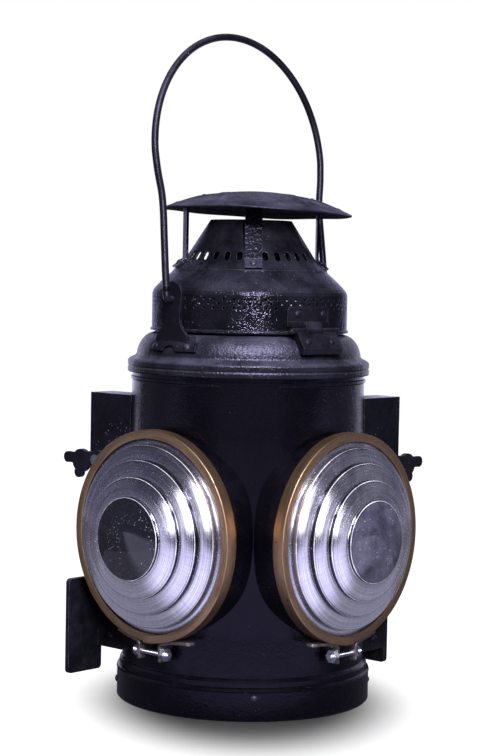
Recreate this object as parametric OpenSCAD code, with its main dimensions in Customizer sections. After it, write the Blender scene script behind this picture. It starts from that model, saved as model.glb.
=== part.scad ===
// Two-lens locomotive classification lamp: a sheet steel body on a base pan, a hinged vent
// cowl with a rain cap, two stepped lenses in brass bezels, a swing-down colour roundel
// behind each lens, an oil fount with a burner, a bail and two mounting brackets.
// Millimetres, +Z up, origin at the centre of the base's underside, front towards -Y.
// An angle is measured round +Z from the front, and is positive to the lamp's right.

/* [Body] */
// Outer radius of the body at its top
body_r = 82; // [81.6:0.1:82.4]
// Outer radius of the body at its foot
foot_r = 86; // [85.6:0.1:86.4]
// Thickness of the body's sheet steel
sheet = 1.2; // [1:0.1:1.3]
// Outer radius of the base pan
base_r = 89.7; // [89:0.1:90.5]
// Height of the base pan
base_h = 22.5; // [21.5:0.1:23]

/* [Lenses] */
// Height of the lens centres
lens_z = 121.6; // [121:0.1:122.4]
// Outer radius of the brass bezels
bezel_r = 72; // [71.8:0.1:72.4]
// Distance of a bezel's front face from the lamp's axis
bezel_front = 97.5; // [97:0.1:98.5]
// Depth of the brass bezels
bezel_depth = 9; // [8.5:0.1:9.5]
// How far the lens bulges between its rim and its middle
lens_rise = 24; // [20:0.5:25]

/* [Colour roundels] */
// Angle that a colour lever swings its roundel through
roundel_swing = 47; // [46:0.5:47]
// Radius of the coloured glass
roundel_r = 34.5; // [33:0.1:34.8]

/* [Cowl] */
// Outer radius of the vent drum
drum_r = 69; // [68.8:0.1:69.1]
// Height of the drum's lower edge
drum_z = 259.4; // [259.2:0.1:259.6]
// Radius of the rain cap
cap_r = 67; // [65:0.5:67.5]
// Height of the rain cap's rim
cap_z = 344; // [343:0.5:345]
// Rise of the rain cap's dome
cap_rise = 14; // [12:0.5:15]
// How far the rain cap sits to the lamp's right
cap_shift = 4; // [0:0.5:4.5]
// Number of upright slots round the chimney
slot_count = 32; // [28:4:36]
// Number of perforations in each row round the drum
hole_count = 60; // [40:4:64]

/* [Bail] */
// Diameter of the bail's rod
rod_d = 5; // [4.6:0.1:5.2]
// Height of the bail's pivots
pivot_z = 281.5; // [281:0.1:282]
// How far the bail leans back from upright
bail_lean = 6; // [0:0.5:8]

/* [Burner] */
// Radius of the oil fount
fount_r = 48; // [44:0.5:52]
// Width of the flat wick
wick_w = 16; // [12:0.5:16]

/* [Hidden] */
$fn = 96;

// Colours of the finishes
black_paint = "#17171c";
aged_brass = "#a9835a";
clear_glass = "#c9cbd6";
green_glass = "#1f7a4a";
zinc = "#b4b8c0";
cotton = "#e4dcc8";
black_rubber = "#101010";

// Body
body_bottom = 22.5;
body_top = 236;
flange_r = 88;
bead_bottom = 230;
bead_top = 239;
bead_r = 85.5;
dome_mid_r = 66;
dome_mid_z = 240;
dome_a = 13.5;
dome_b = 18;
spigot_r = 66.6;

// Lens hoods, pockets and levers: d runs out along the lens's axis, s sideways
lens_angle = 45;
hood_r = 70;
hood_front = bezel_front - bezel_depth;
seat_r = 65;
rim_r = 68.3;
lens_back = bezel_front - 6;
pocket_front = 62;
pocket_back = 40;
pocket_end = 96;
pocket_top = 213;
pocket_bottom = 142;
spindle_s = 84;
spindle_z = 165;
spindle_r = 2.5;
running_fit = 0.05;
seam = 0.2;
roundel_d = 50;
arm_turn = atan2(spindle_z - lens_z, spindle_s);
lug_x = 10.8;
lug_drop = 13;
bolt_drop = 7.5;

// Cowl, hinge and bail
skirt_r = 54;
skirt_z = 302.5;
crease_r = 47;
crease_z = 308.6;
cone_top_r = 28.7;
cone_top_z = 337.5;
tube_z = 300;
slot_turn = 9.8;
strap_angles = [-1, 90, 175, -79];
strap_foot = [[55.4, 304.5], [47.9, 310.6]];
cap_sphere_r = (cap_r * cap_r + cap_rise * cap_rise) / (2 * cap_rise);
cap_sheet = 1.2;
hinge_angle = 34;
leaf_middle = 32.5;
leaf_half = 17.8;
leaf_bottom = 264.8;
leaf_top = 278.4;
hinge_r = 73;
hinge_z = 262;
knuckle_r = 2.3;
pin_r = 1.2;
ear_angle = -46;
ear_in = 75;
ear_t = 2.5;
rod_r = rod_d / 2;

// Puts a part at an angle round the lamp: its X points outwards and its Y sideways
module radial(angle) {
  rotate([0, 0, angle - 90]) children();
}

// Puts a part on the right lens, or its mirror image on the left one: Z points outwards
module on_lens(side) {
  mirror([side < 0 ? 1 : 0, 0, 0]) rotate([0, 0, lens_angle]) translate([0, 0, lens_z])
    rotate([90, 0, 0]) children();
}

// Puts a part on a colour lever's pivot
module on_pivot(side) {
  on_lens(side) translate([spindle_s, spindle_z - lens_z, 0]) children();
}

// Ring with a rectangular section between two radii
module ring(r_out, r_in, h) {
  difference() {
    cylinder(r = r_out, h = h);
    translate([0, 0, -1]) cylinder(r = r_in, h = h + 2);
  }
}

// Sheet plate of a given thickness with its flat outline in X and Z
module plate_xz(t) {
  rotate([90, 0, 0]) linear_extrude(t, center = true) children();
}

// Round rivet or screw head standing on the XY plane
module rivet(head_r) {
  intersection() {
    translate([0, 0, -head_r * 0.7]) sphere(r = head_r * 1.25, $fn = 32);
    cylinder(r = head_r, h = head_r, $fn = 32);
  }
}

// Outer cone of the body, grown by an amount
module body_cone(grow) {
  translate([0, 0, body_bottom])
    cylinder(r1 = foot_r + grow, r2 = body_r + grow, h = body_top - body_bottom);
}

module base_pan() {
  color(black_paint) rotate_extrude() polygon([
    [0, 0], [base_r - 1, 0], [base_r, 1], [base_r, base_h - 3], [base_r + 0.4, base_h - 2],
    [base_r, base_h - 0.6], [base_r - 1, base_h], [base_r - 2.2, base_h],
    [base_r - 2.2, 1.5], [0, 1.5]
  ]);
}

module base_screws() {
  color(black_paint) {
    for (a = [-88, 90, 180]) rotate([0, 0, a]) translate([0, -base_r, 11])
      rotate([90, 0, 0]) rivet(2.6);
    rotate([0, 0, 2]) translate([0, -base_r, 15.5]) rotate([90, 0, 0]) rivet(2.6);
  }
}

module base_floor() {
  color(black_paint) difference() {
    union() {
      translate([0, 0, 18]) cylinder(r = base_r - 2.2, h = 1.2);
      translate([0, 0, 1.5]) ring(base_r - 2.2, base_r - 3.4, 16.8);
      translate([0, 0, 18]) ring(fount_r + 2.6, fount_r + 1.2, 7);
    }
    for (a = [0:45:315]) rotate([0, 0, a + 22.5]) translate([67, 0, 16])
      cylinder(r = 5, h = 4, $fn = 32);
  }
}

module body_shell() {
  color(black_paint) difference() {
    rotate_extrude() polygon([
      [foot_r - sheet, body_bottom], [flange_r, body_bottom], [flange_r, 26],
      [flange_r - 0.6, 27.5], [foot_r, 28.5], [body_r + 0.2, 224.4], [body_r + 1.2, 225.2],
      [body_r + 1.2, 226.8], [body_r + 0.1, 227.6], [body_r, body_top],
      [body_r - sheet, body_top]
    ]);
    for (side = [-1, 1]) on_lens(side) {
      translate([0, 0, 30]) cylinder(r = hood_r - sheet, h = 80);
      pocket_space(0);
    }
  }
}

// Outer radius of the body at a height
function body_cone_r(z) = foot_r + (body_r - foot_r) * (z - body_bottom) / (body_top - body_bottom);

// Outer radius of the front saddle at a height: it swells level with the lens centres
function saddle_r(z) = body_cone_r(z) + 15 * pow(cos(90 * (z - lens_z) / 70), 2);

module front_saddle() {
  n = 18;
  reach = 64;
  heights = [for (i = [0:n]) lens_z - reach + 2 * reach * i / n];
  outer = [for (z = heights) [saddle_r(z), z]];
  inner = [for (i = [n:-1:0]) [saddle_r(heights[i]) - 1.5, heights[i]]];
  color(black_paint) difference() {
    radial(0) rotate([0, 0, -26]) rotate_extrude(angle = 52) polygon(concat(outer, inner));
    body_cone(seam);
    for (side = [-1, 1]) on_lens(side) cylinder(r = hood_r, h = 120);
  }
}

module lens_hood(side) {
  color(black_paint) difference() {
    on_lens(side) difference() {
      translate([0, 0, 36]) cylinder(r = hood_r, h = bezel_front - 2.5 - 36);
      translate([0, 0, 30]) cylinder(r = hood_r - sheet, h = hood_front - 35);
      translate([0, 0, 30]) cylinder(r = seat_r, h = 80);
      translate([0, 0, lens_back - 1.6]) cylinder(r = rim_r, h = 20);
      pocket_space(0);
    }
    body_cone(seam);
    translate([side > 0 ? -100 : 0, -150, 0]) cube([100, 150, 300]);
  }
}

module lens_gasket(side) {
  color(black_rubber) on_lens(side) translate([0, 0, lens_back - 1.6])
    ring(rim_r, seat_r, 1.6);
}

// Radii of the lens's steps, from the bull's-eye to the flange
step_r = [28, 41, 52, 62];

// Height of the lens's smooth dome above its back at a radius
function dome_h(r) = 7 + lens_rise * (1 - pow(r / 64, 2));

// Points of one crowned step of the lens, from its inner radius to its riser
function step_points(i) =
  let (
    r0 = i == 0 ? 0 : step_r[i - 1],
    r1 = step_r[i],
    n = i == 0 ? 8 : 4,
    crown = i == 0 ? 4.2 : 3,
    top = dome_h(r1) + crown + 0.8
  )
  [for (k = [0:n]) [r0 + (r1 - r0) * k / n, top - crown * pow(k / n, 2)]];

module lens(side) {
  outer = [for (i = [0:len(step_r) - 1]) each step_points(i)];
  color(clear_glass, 0.5) on_lens(side) translate([0, 0, lens_back]) rotate_extrude()
    polygon(concat([[0, 13]], outer, [
      [62.4, 4.5], [rim_r - 0.1, 4.5], [rim_r - 0.1, 0], [60, 0], [48, 4], [30, 10], [15, 12.4]
    ]));
}

module bezel(side) {
  wall = 1.5;
  lip_r = 66;
  slit = 0.8;
  color(aged_brass) on_lens(side) difference() {
    rotate_extrude() polygon([
      [bezel_r, hood_front], [bezel_r, bezel_front - 1.6], [bezel_r - 0.5, bezel_front - 0.5],
      [bezel_r - 1.6, bezel_front], [lip_r, bezel_front], [lip_r, bezel_front - wall],
      [bezel_r - wall, bezel_front - wall], [bezel_r - wall, hood_front]
    ]);
    translate([-slit / 2, -bezel_r - 1, hood_front - 1]) cube([slit, 10, bezel_depth + 2]);
  }
}

// Two bent straps under the bezel: each follows it, then runs straight on as a tongue
module clamp_lugs(side) {
  t = 2.2;
  w = 6.4;
  bend_turn = 8;
  tongue_turn = 17;
  color(zinc) on_lens(side) translate([0, 0, hood_front + 1.2]) for (m = [0, 1])
    mirror([m, 0, 0]) difference() {
      union() {
        rotate([0, 0, -90 + bend_turn]) rotate_extrude(angle = tongue_turn - bend_turn)
          translate([bezel_r - 1, 0]) square([t + 1, w]);
        rotate([0, 0, -90 + tongue_turn]) translate([bezel_r + 0.15, -0.6, 0])
          cube([t - 0.3, m == 0 ? 9 : 16, w]);
        translate([lug_x - t, -bezel_r - lug_drop, 0]) cube([t, lug_drop + 1.9, w]);
      }
      translate([0, 0, -1]) cylinder(r = bezel_r, h = w + 2);
      translate([0, -bezel_r - bolt_drop, w / 2]) rotate([0, 90, 0])
        cylinder(r = 2.2, h = 30, $fn = 32);
    }
}

module clamp_bolt(side) {
  color(zinc) on_lens(side)
    translate([0, -bezel_r - bolt_drop, hood_front + 4.4]) rotate([0, 90, 0]) {
      translate([0, 0, -lug_x - 6.2]) cylinder(r = 2, h = 2 * lug_x + 9.4, $fn = 32);
      translate([0, 0, lug_x]) cylinder(r = 4, h = 3.2, $fn = 32);
      translate([0, 0, -lug_x - 3.6]) cylinder(r = 4.8, h = 3.6, $fn = 6);
    }
}

// Inner space of a roundel pocket, or its outside when grown by the sheet's thickness
module pocket_space(grow) {
  translate([44, pocket_bottom + sheet - grow - lens_z, pocket_back + sheet - grow]) cube([
    pocket_end - sheet + grow - 44,
    pocket_top - pocket_bottom - 2 * sheet + 2 * grow,
    pocket_front - pocket_back - 2 * sheet + 2 * grow
  ]);
}

module roundel_pocket(side) {
  color(black_paint) difference() {
    on_lens(side) difference() {
      union() {
        pocket_space(sheet);
        for (d = [pocket_front, pocket_back - 1]) translate([spindle_s, spindle_z - lens_z, d])
          cylinder(r = 5.5, h = 1, $fn = 32);
      }
      pocket_space(0);
      translate([spindle_s, spindle_z - lens_z, 30])
        cylinder(r = spindle_r + running_fit, h = 40, $fn = 32);
      cylinder(r = hood_r, h = 100);
    }
    body_cone(seam);
  }
}

module lever_spindle(side) {
  color(zinc) on_pivot(side) {
    translate([0, 0, pocket_back - 2.4]) cylinder(r = spindle_r, h = 31, $fn = 32);
    translate([0, 0, pocket_front + 5.4]) cylinder(r = 4, h = 2, $fn = 32);
  }
}

// Bar with slightly swollen round ends between two points, drawn flat
module bar(a, b, w) {
  d = b - a;
  swell = 0.3;
  translate(a) circle(d = w + swell, $fn = 32);
  translate(b) circle(d = w + swell, $fn = 32);
  translate(a) rotate(atan2(d[1], d[0])) translate([0, -w / 2]) square([norm(d), w]);
}

module colour_lever(side) {
  color(black_paint) on_pivot(side) translate([0, 0, pocket_front + 2.2])
    linear_extrude(3.2) difference() {
      union() {
        circle(r = 7, $fn = 48);
        translate([0, -5.5]) square([17, 11]);
        translate([16.5, -1.6]) circle(r = 8.4, $fn = 48);
        translate([18.6, -10]) circle(r = 4, $fn = 32);
        translate([20, -3.7]) square([10, 7.6]);
        translate([30, 0.1]) circle(r = 4, $fn = 32);
      }
      circle(r = spindle_r, $fn = 32);
    }
}

// Turns a roundel part from its place behind the lens to where it is parked
module parked(side) {
  on_pivot(side) rotate([0, 0, -roundel_swing])
    translate([-spindle_s, lens_z - spindle_z, 0]) children();
}

module roundel_frame(side) {
  hub = [spindle_s, spindle_z - lens_z];
  edge = [(roundel_r + 2) * cos(arm_turn), (roundel_r + 2) * sin(arm_turn)];
  color(black_paint) parked(side) translate([0, 0, roundel_d - 1.5])
    linear_extrude(3) difference() {
      union() {
        circle(r = 36.5);
        bar(edge, hub, 7);
        translate(hub) circle(r = 6, $fn = 48);
      }
      circle(r = roundel_r);
      translate(hub) circle(r = spindle_r, $fn = 32);
    }
}

module roundel_glass(side) {
  color(green_glass, 0.6) parked(side) translate([0, 0, roundel_d - 1.2])
    cylinder(r = roundel_r, h = 2.4);
}

// Mounting bracket: a web off the body's side, and a flange turned forwards or back
module mount_bracket(side, forward) {
  end = 91;
  t = 3.4;
  web_d = 59.4;
  color(black_paint) difference() {
    on_lens(side) {
      translate([50, 30 - lens_z, web_d - t]) cube([end - t - 50, 46, t]);
      translate([end - t, (forward ? 13 : 19) - lens_z, forward ? web_d - t : 30])
        lens_flange(forward ? 88.4 - web_d + t : web_d - 30, forward ? 68 : 62, t);
    }
    body_cone(seam);
  }
}

// Flange plate stood in the lens frame: w runs along the lens's axis and h upwards
module lens_flange(w, h, t) {
  c = 3;
  rotate([0, -90, 0]) translate([0, 0, -t]) linear_extrude(t) {
    translate([0, c]) square([w, h - 2 * c]);
    translate([c, 0]) square([w - 2 * c, h]);
    for (x = [c, w - c], y = [c, h - c]) translate([x, y]) circle(r = c, $fn = 32);
  }
}

module bracket_rivets() {
  color(black_paint) for (side = [-1, 1], z = [38, 53, 68])
    on_lens(side) translate([76, z - lens_z, 59.4]) rivet(2.8);
}

// Points of the dome's elliptical profile, moved outwards by grow
function dome_arc(grow, t0, t1, steps) = [
  for (i = [0:steps])
    let (t = t0 + (t1 - t0) * i / steps)
    [dome_mid_r + (dome_a + grow) * cos(t), dome_mid_z + (dome_b + grow) * sin(t)]
];

module dome_cover() {
  color(black_paint) rotate_extrude() polygon(concat(
    [[body_r + seam, bead_bottom], [bead_r - 0.8, bead_bottom], [bead_r, bead_bottom + 0.8],
     [bead_r, 233.4], [bead_r - 0.7, 234.4], [bead_r, 235.4], [bead_r, bead_top - 1],
     [bead_r - 1.4, bead_top + 0.4], [82, 240.8]],
    dome_arc(0, 8, 84, 14),
    [[spigot_r, 263.5], [spigot_r - sheet, 263.5]],
    dome_arc(-sheet, 84, 8, 14),
    [[body_r - 0.9, body_top + 0.6], [body_r - 0.9, body_top], [body_r + seam, body_top]]
  ));
}

// Curved sheet on the dome, between two angles of the ellipse, w degrees wide
module dome_patch(angle, w, t0, t1, thick) {
  radial(angle) rotate([0, 0, -w / 2]) rotate_extrude(angle = w)
    polygon(concat(dome_arc(seam / 2, t0, t1, 12), dome_arc(thick, t1, t0, 12)));
}

// Bail ear: a two-lobed foot on the dome, a neck, and a pierced round head
module bail_ear(angle) {
  color(black_paint) {
    difference() {
      dome_patch(angle, 32, 20, 62, 2);
      radial(angle) translate([60, 0, 243.6]) rotate([0, 90, 0]) cylinder(r = 7, h = 30, $fn = 48);
      for (m = [-1, 1]) radial(angle) translate([60, m * 22.5, 259.5]) rotate([0, 90, 0])
        cylinder(r = 7, h = 30, $fn = 48);
    }
    difference() {
      radial(angle) translate([ear_in, 0, 0]) rotate([90, 0, 90]) linear_extrude(ear_t)
        difference() {
          union() {
            translate([0, 285]) circle(r = 8.85, $fn = 48);
            polygon([
              [-15.4, 253], [15.4, 253], [14.6, 257], [10.4, 261.2], [8, 264.6], [7.1, 269],
              [7.4, 275], [8.4, 282], [-8.4, 282], [-7.4, 275], [-7.1, 269], [-8, 264.6],
              [-10.4, 261.2], [-14.6, 257]
            ]);
          }
          translate([0, pivot_z]) circle(r = rod_r + running_fit, $fn = 48);
        }
      rotate_extrude() polygon(concat([[0, 230]], dome_arc(2, 0, 90, 24)));
    }
  }
}

// Places a rivet square to the dome, at an angle of its ellipse
module on_dome(angle, t, lift) {
  out = atan2(sin(t) * dome_a, cos(t) * dome_b);
  radial(angle) translate([dome_mid_r + dome_a * cos(t), 0, dome_mid_z + dome_b * sin(t)])
    rotate([0, 90 - out, 0]) translate([0, 0, lift]) children();
}

module ear_rivets() {
  color(black_paint) for (a = [ear_angle, ear_angle + 180], m = [-1, 1])
    on_dome(a + 10.8 * m, 29, 2) rivet(2.7);
}

// Straight length of rod between two points given as [x, z], with a ball over its first end
module rod_piece(a, b) {
  d = b - a;
  ball = 0.05;
  translate([a[0], 0, a[1]]) {
    rotate([0, atan2(d[0], d[1]), 0]) cylinder(r = rod_r, h = norm(d), $fn = 32);
    sphere(r = rod_r + ball, $fn = 32);
  }
}

module bail_handle() {
  arc_r = 85.5;
  arc_z = 101;
  bend = 5;
  foot_x = 82.5;
  path = [[arc_r, arc_z], [84.2, 88], [81.4, 72], [81, 62], [81.7, 42], [foot_x, 16], [foot_x, bend]];
  color(black_paint) radial(ear_angle) translate([0, 0, pivot_z]) rotate([bail_lean, 0, 0]) {
    translate([0, 0, arc_z]) rotate([90, 0, 0]) rotate_extrude(angle = 180)
      translate([arc_r, 0]) circle(r = rod_r, $fn = 32);
    for (m = [0, 1]) mirror([m, 0, 0]) {
      for (i = [0:len(path) - 2]) rod_piece(path[i], path[i + 1]);
      translate([foot_x - bend, 0, bend]) rotate([90, 0, 0]) rotate([0, 0, -90])
        rotate_extrude(angle = 90) translate([bend, 0]) circle(r = rod_r, $fn = 32);
      translate([foot_x, 0, bend]) sphere(r = rod_r + 0.05, $fn = 32);
      translate([71, 0, 0]) rotate([0, 90, 0]) cylinder(r = rod_r, h = foot_x - bend - 71, $fn = 32);
      translate([foot_x - bend + 0.6, 0, 0.04]) sphere(r = rod_r + 0.03, $fn = 32);
    }
  }
}

// Hinge knuckles along the pin, at a list of middles, each as long as w
module knuckles(middles, w) {
  radial(hinge_angle) translate([hinge_r, 0, hinge_z]) rotate([90, 0, 0])
    for (y = middles) translate([0, 0, y - w / 2]) cylinder(r = knuckle_r, h = w, $fn = 32);
}

module pin_hole(gap) {
  radial(hinge_angle) translate([hinge_r, 0, hinge_z]) rotate([90, 0, 0])
    cylinder(r = pin_r + gap, h = 60, center = true, $fn = 32);
}

module hinge_lower_leaf() {
  color(black_paint) difference() {
    union() {
      radial(hinge_angle) translate([0, 1.2, 0]) plate_xz(33.4) polygon([
        [72.2, 260.6], [75, 261.4], [76, 259.4], [82, 250.4], [81.2, 246.4], [74, 246.4], [69, 256]
      ]);
      knuckles([-13.6, 13.6], 12.8);
    }
    radial(hinge_angle) translate([hinge_r, 0, hinge_z]) rotate([90, 0, 0])
      cylinder(r = knuckle_r + 0.6, h = 14.4, center = true, $fn = 32);
    pin_hole(0);
    rotate_extrude() polygon(concat([[0, 230]], dome_arc(seam, 0, 90, 24)));
  }
}

// Flat outline of the upper leaf with its top corners cut round, drawn through the drum's wall
module leaf_block(half, z0, z1, corner) {
  radial(leaf_middle) translate([50, 0, 0]) rotate([90, 0, 90]) linear_extrude(30) polygon([
    [-half, z0], [half, z0], [half, z1 - corner], [half - corner * 0.3, z1 - corner * 0.3],
    [half - corner, z1], [corner - half, z1], [corner * 0.3 - half, z1 - corner * 0.3],
    [-half, z1 - corner]
  ]);
}

module hinge_upper_leaf() {
  edge = 1.7;
  color(black_paint) difference() {
    union() {
      intersection() {
        translate([0, 0, 258]) ring(drum_r + 2.1, drum_r, 30);
        leaf_block(leaf_half, leaf_bottom, leaf_top, 2.6);
      }
      knuckles([0], 13.8);
      radial(hinge_angle) plate_xz(13.8) polygon([
        [69.1, 268], [69.1, 264.9], [70.9, 262.6], [73, 262], [73.8, 264.1], [71.3, 268]
      ]);
    }
    intersection() {
      translate([0, 0, 258]) ring(drum_r + 5, drum_r + 1.4, 30);
      leaf_block(leaf_half - edge, 268.2, leaf_top - edge, 1.8);
    }
    pin_hole(running_fit);
    translate([0, 0, 250]) cylinder(r = drum_r, h = 60);
  }
}

module hinge_pin() {
  color(zinc) radial(hinge_angle) translate([hinge_r, 0, hinge_z]) rotate([90, 0, 0])
    cylinder(r = pin_r, h = 41, center = true, $fn = 32);
}

module hinge_rivets_lower() {
  color(black_paint) radial(hinge_angle) for (y = [-9.6, 11.2]) translate([79, y, 254.9])
    rotate([0, atan2(9, 6), 0]) rivet(2.4);
}

module hinge_rivets_upper() {
  color(black_paint) for (m = [-1, 1]) radial(leaf_middle + 1 + 9 * m)
    translate([drum_r + 1.4, 0, 273.3]) rotate([0, 90, 0]) rivet(2.5);
}

module vent_drum() {
  w = sheet;
  rows = [276.8, 279.8, 282.8];
  color(black_paint) difference() {
    rotate_extrude() polygon([
      [drum_r - w, drum_z], [drum_r + 0.8, drum_z], [drum_r + 1.1, drum_z + 0.8],
      [drum_r + 0.8, drum_z + 1.6], [drum_r, drum_z + 2.1], [drum_r, 285.4], [68.3, 287.8],
      [66.6, 290], [62.6, 294.2], [57.4, 298.8], [55, 301], [skirt_r, skirt_z], [skirt_r - w, skirt_z],
      [skirt_r - w, 301.4], [56.8, 298], [61.9, 293.5], [65.8, 289.4], [67.4, 287.4],
      [drum_r - w, 285.1]
    ]);
    for (i = [0:2], k = [0:hole_count - 1])
      radial(360 * (k + (i == 1 ? 0.5 : 0)) / hole_count)
        translate([60, 0, rows[i]]) rotate([0, 90, 0]) cylinder(r = 0.95, h = 12, $fn = 16);
  }
}

module chimney_cone() {
  w = sheet;
  color(black_paint) difference() {
    rotate_extrude() polygon([
      [skirt_r, skirt_z], [crease_r, crease_z], [cone_top_r, cone_top_z],
      [cone_top_r - w, cone_top_z], [cone_top_r - w, tube_z], [cone_top_r, tube_z],
      [cone_top_r, 335.4], [crease_r - w - 0.2, crease_z], [skirt_r - w - 0.6, skirt_z]
    ]);
    for (k = [0:slot_count - 1]) radial(360 * k / slot_count + slot_turn) for (m = [-1, 1])
      translate([30, 0, 312 + m]) rotate([0, 90, 0]) cylinder(r = 2.1, h = 30, $fn = 24);
  }
}

// Puts a part on the rain cap: its origin is the middle of the cap's sphere
module on_cap() {
  translate([cap_shift, 0, cap_z]) rotate([0, 0.9, 0])
    translate([0, 0, cap_rise - cap_sphere_r]) children();
}

// One cap strap, drawn at the front: a foot on the skirt, then straight up
module strap(w) {
  plate_xz(w) polygon([
    [54.3, 303.4], strap_foot[0], strap_foot[1], [47.9, 360],
    [46.3, 360], [46.3, 308.8], [47, crease_z]
  ]);
}

module cap_straps() {
  t = 1.6;
  w = 12;
  color(black_paint) difference() {
    union() {
      intersection() {
        for (a = strap_angles) radial(a) strap(w);
        on_cap() sphere(r = cap_sphere_r - cap_sheet);
      }
      intersection() {
        for (a = strap_angles) radial(a) translate([32, -w / 2, 340]) cube([15, w, 20]);
        on_cap() difference() {
          sphere(r = cap_sphere_r - cap_sheet);
          sphere(r = cap_sphere_r - cap_sheet - t);
        }
      }
    }
    rotate_extrude() polygon([
      [0, 290], [skirt_r, 290], [skirt_r, skirt_z], [crease_r, crease_z],
      [cone_top_r, cone_top_z], [0, cone_top_z]
    ]);
  }
}

module strap_rivets() {
  middle = (strap_foot[0] + strap_foot[1]) / 2;
  slope = strap_foot[0] - strap_foot[1];
  color(black_paint) for (a = strap_angles) radial(a) translate([middle[0], 0, middle[1]])
    rotate([0, atan2(-slope[1], slope[0]), 0]) rivet(2.6);
}

module rain_cap() {
  color(black_paint) on_cap() intersection() {
    difference() {
      sphere(r = cap_sphere_r);
      sphere(r = cap_sphere_r - cap_sheet);
    }
    cylinder(r = cap_r, h = cap_sphere_r + 1);
  }
}

module cap_rivets() {
  color(black_paint) for (a = strap_angles) on_cap() rotate([0, 0, a - 90]) rotate([0, 13.4, 0])
    translate([0, 0, cap_sphere_r]) rivet(2.2);
}

module cowl_catch() {
  color(zinc) radial(hinge_angle + 180) {
    plate_xz(9) polygon([
      [drum_r, 262.4], [drum_r + 1, 262.4], [drum_r + 1, 276], [drum_r + 1, 279], [drum_r, 279]
    ]);
    plate_xz(9) polygon([
      [drum_r + 0.9, 262.4], [drum_r + 3.4, 262.4], [drum_r + 6.4, 266], [drum_r + 6.4, 267.2],
      [drum_r + 3, 263.4], [drum_r + 0.9, 263.4]
    ]);
  }
}

module oil_fount() {
  color(aged_brass) difference() {
    rotate_extrude() polygon([
      [0, 19.2], [fount_r - 2, 19.2], [fount_r, 21.2], [fount_r, 58], [fount_r - 3, 61],
      [14, 64], [14, 68], [0, 68]
    ]);
    rotate_extrude() polygon([
      [0, 20.5], [fount_r - 2.6, 20.5], [fount_r - 1.2, 21.9], [fount_r - 1.2, 57.6],
      [fount_r - 3.6, 60], [12.6, 62.9], [12.6, 69], [0, 69]
    ]);
    translate([0, 32, 50]) cylinder(r = 7, h = 20, $fn = 48);
  }
}

module filler_cap() {
  color(aged_brass) translate([0, 32, 0]) {
    translate([0, 0, 63.3]) cylinder(r = 9, h = 5, $fn = 48);
    translate([0, 0, 56]) cylinder(r = 6.9, h = 7.4, $fn = 48);
  }
}

module burner() {
  slot = wick_w + 0.6;
  color(aged_brass) difference() {
    rotate_extrude() polygon([
      [0, 66], [12.6, 66], [12.6, 68], [17, 68], [18, 70], [18, 76], [15, 80], [15, 88],
      [12, 96], [10.5, 104], [0, 104]
    ]);
    translate([-slot / 2, -1.3, 60]) cube([slot, 2.6, 50]);
    translate([0, -6.2, 84]) rotate([0, 90, 0]) cylinder(r = 5.4, h = 10, center = true, $fn = 32);
    translate([-3, -4, 80]) cube([6, 4, 8]);
    translate([0, -6.2, 84]) rotate([0, 90, 0]) cylinder(r = 1.55, h = 60, $fn = 32, center = true);
  }
}

module wick_knob() {
  color(aged_brass) translate([0, -6.2, 84]) rotate([0, 90, 0]) {
    translate([0, 0, -13]) cylinder(r = 1.5, h = 41, $fn = 32);
    translate([0, 0, 26]) cylinder(r = 7, h = 3, $fn = 48);
    translate([0, 0, -2]) cylinder(r = 4.6, h = 4, $fn = 24);
  }
}

module wick() {
  color(cotton) translate([-wick_w / 2, -1, 26]) cube([wick_w, 2, 81]);
}

base_pan();
base_screws();
base_floor();
body_shell();
front_saddle();
lens_hood(-1);  // lens_hood_left
lens_hood(1);  // lens_hood_right
lens_gasket(-1);  // lens_gasket_left
lens_gasket(1);  // lens_gasket_right
lens(-1);  // lens_left
lens(1);  // lens_right
bezel(-1);  // bezel_left
bezel(1);  // bezel_right
clamp_lugs(-1);  // clamp_lugs_left
clamp_lugs(1);  // clamp_lugs_right
clamp_bolt(-1);  // clamp_bolt_left
clamp_bolt(1);  // clamp_bolt_right
roundel_pocket(-1);  // roundel_pocket_left
roundel_pocket(1);  // roundel_pocket_right
lever_spindle(-1);  // lever_spindle_left
lever_spindle(1);  // lever_spindle_right
colour_lever(-1);  // colour_lever_left
colour_lever(1);  // colour_lever_right
roundel_frame(-1);  // roundel_frame_left
roundel_frame(1);  // roundel_frame_right
roundel_glass(-1);  // roundel_glass_left
roundel_glass(1);  // roundel_glass_right
mount_bracket(-1, true);  // mount_bracket_left
mount_bracket(1, false);  // mount_bracket_right
bracket_rivets();
dome_cover();
bail_ear(ear_angle);  // bail_ear_front
bail_ear(ear_angle + 180);  // bail_ear_rear
ear_rivets();
bail_handle();
hinge_lower_leaf();
hinge_upper_leaf();
hinge_pin();
hinge_rivets_lower();
hinge_rivets_upper();
vent_drum();
chimney_cone();
cap_straps();
strap_rivets();
rain_cap();
cap_rivets();
cowl_catch();
oil_fount();
filler_cap();
burner();
wick_knob();
wick();
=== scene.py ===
"""Two-lens railway classification lamp: finishes, finer surfaces, studio and camera."""
import math

import bpy
import numpy as np
from bpy.props import FloatProperty, FloatVectorProperty, IntProperty, PointerProperty
from mathutils import Matrix, Vector


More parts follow.
